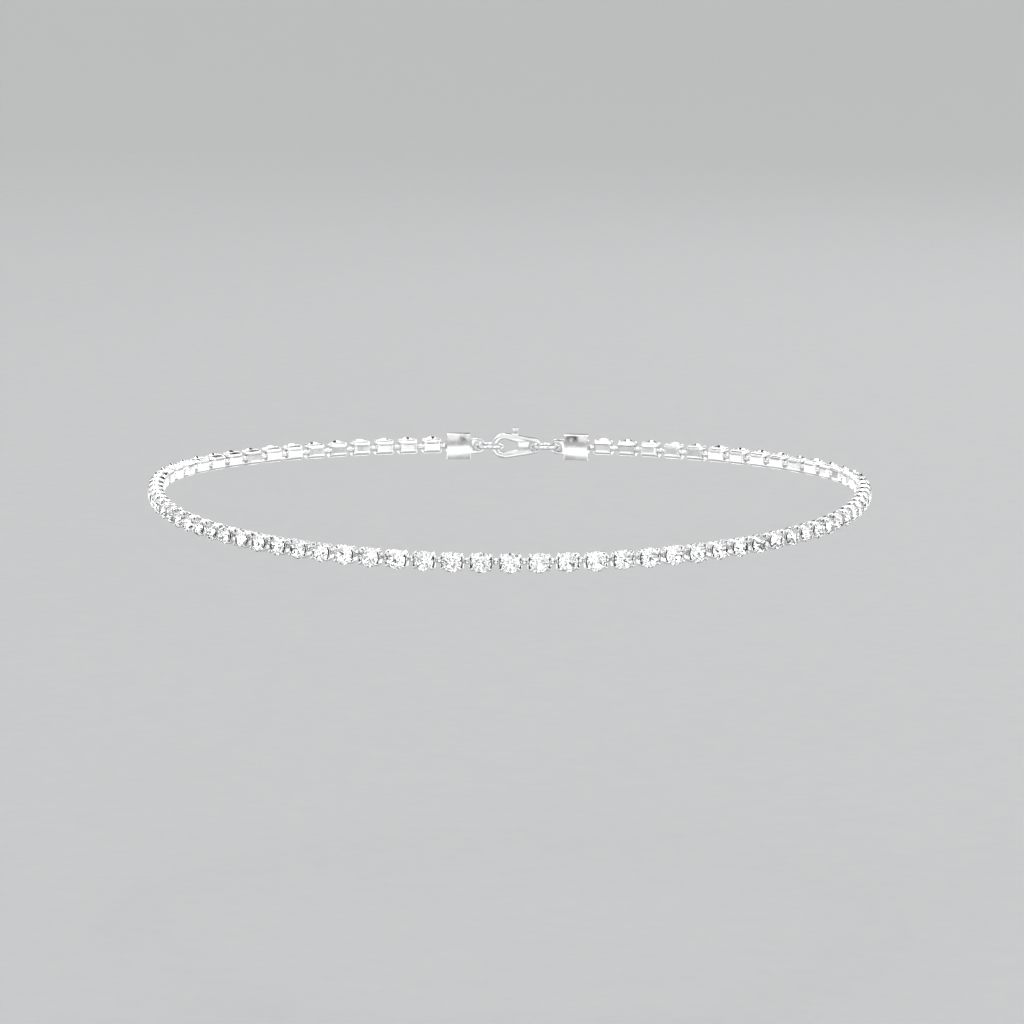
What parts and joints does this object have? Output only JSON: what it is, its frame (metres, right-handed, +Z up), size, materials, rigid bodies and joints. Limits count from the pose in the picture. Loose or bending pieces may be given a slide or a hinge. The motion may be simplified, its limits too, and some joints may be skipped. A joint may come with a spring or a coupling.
{
  "type": "choker necklace",
  "caption": "Close-fitting choker: a single row of round clear crystals in square four-prong cups with short links, closed at the nape by a lobster clasp on jump rings.",
  "frame": {"origin": "centre of the neck opening, level with the stones", "axes": "+Z up along the neck, -Y towards the wearer's front, +X towards the wearer's left"},
  "size_m": [0.1184, 0.1202, 0.0053],
  "materials": {
    "silver_plate": "polished rhodium-coloured plating",
    "crystal": "clear faceted crystal with a silver foil back"
  },
  "bodies": {
    "root": {"cup_chain_left": "silver_plate", "cup_chain_right": "silver_plate", "end_connector_left": "silver_plate", "end_connector_right": "silver_plate", "jump_ring_left": "silver_plate", "jump_ring_right": "silver_plate", "clasp": "silver_plate"}
  },
  "joints": []
}
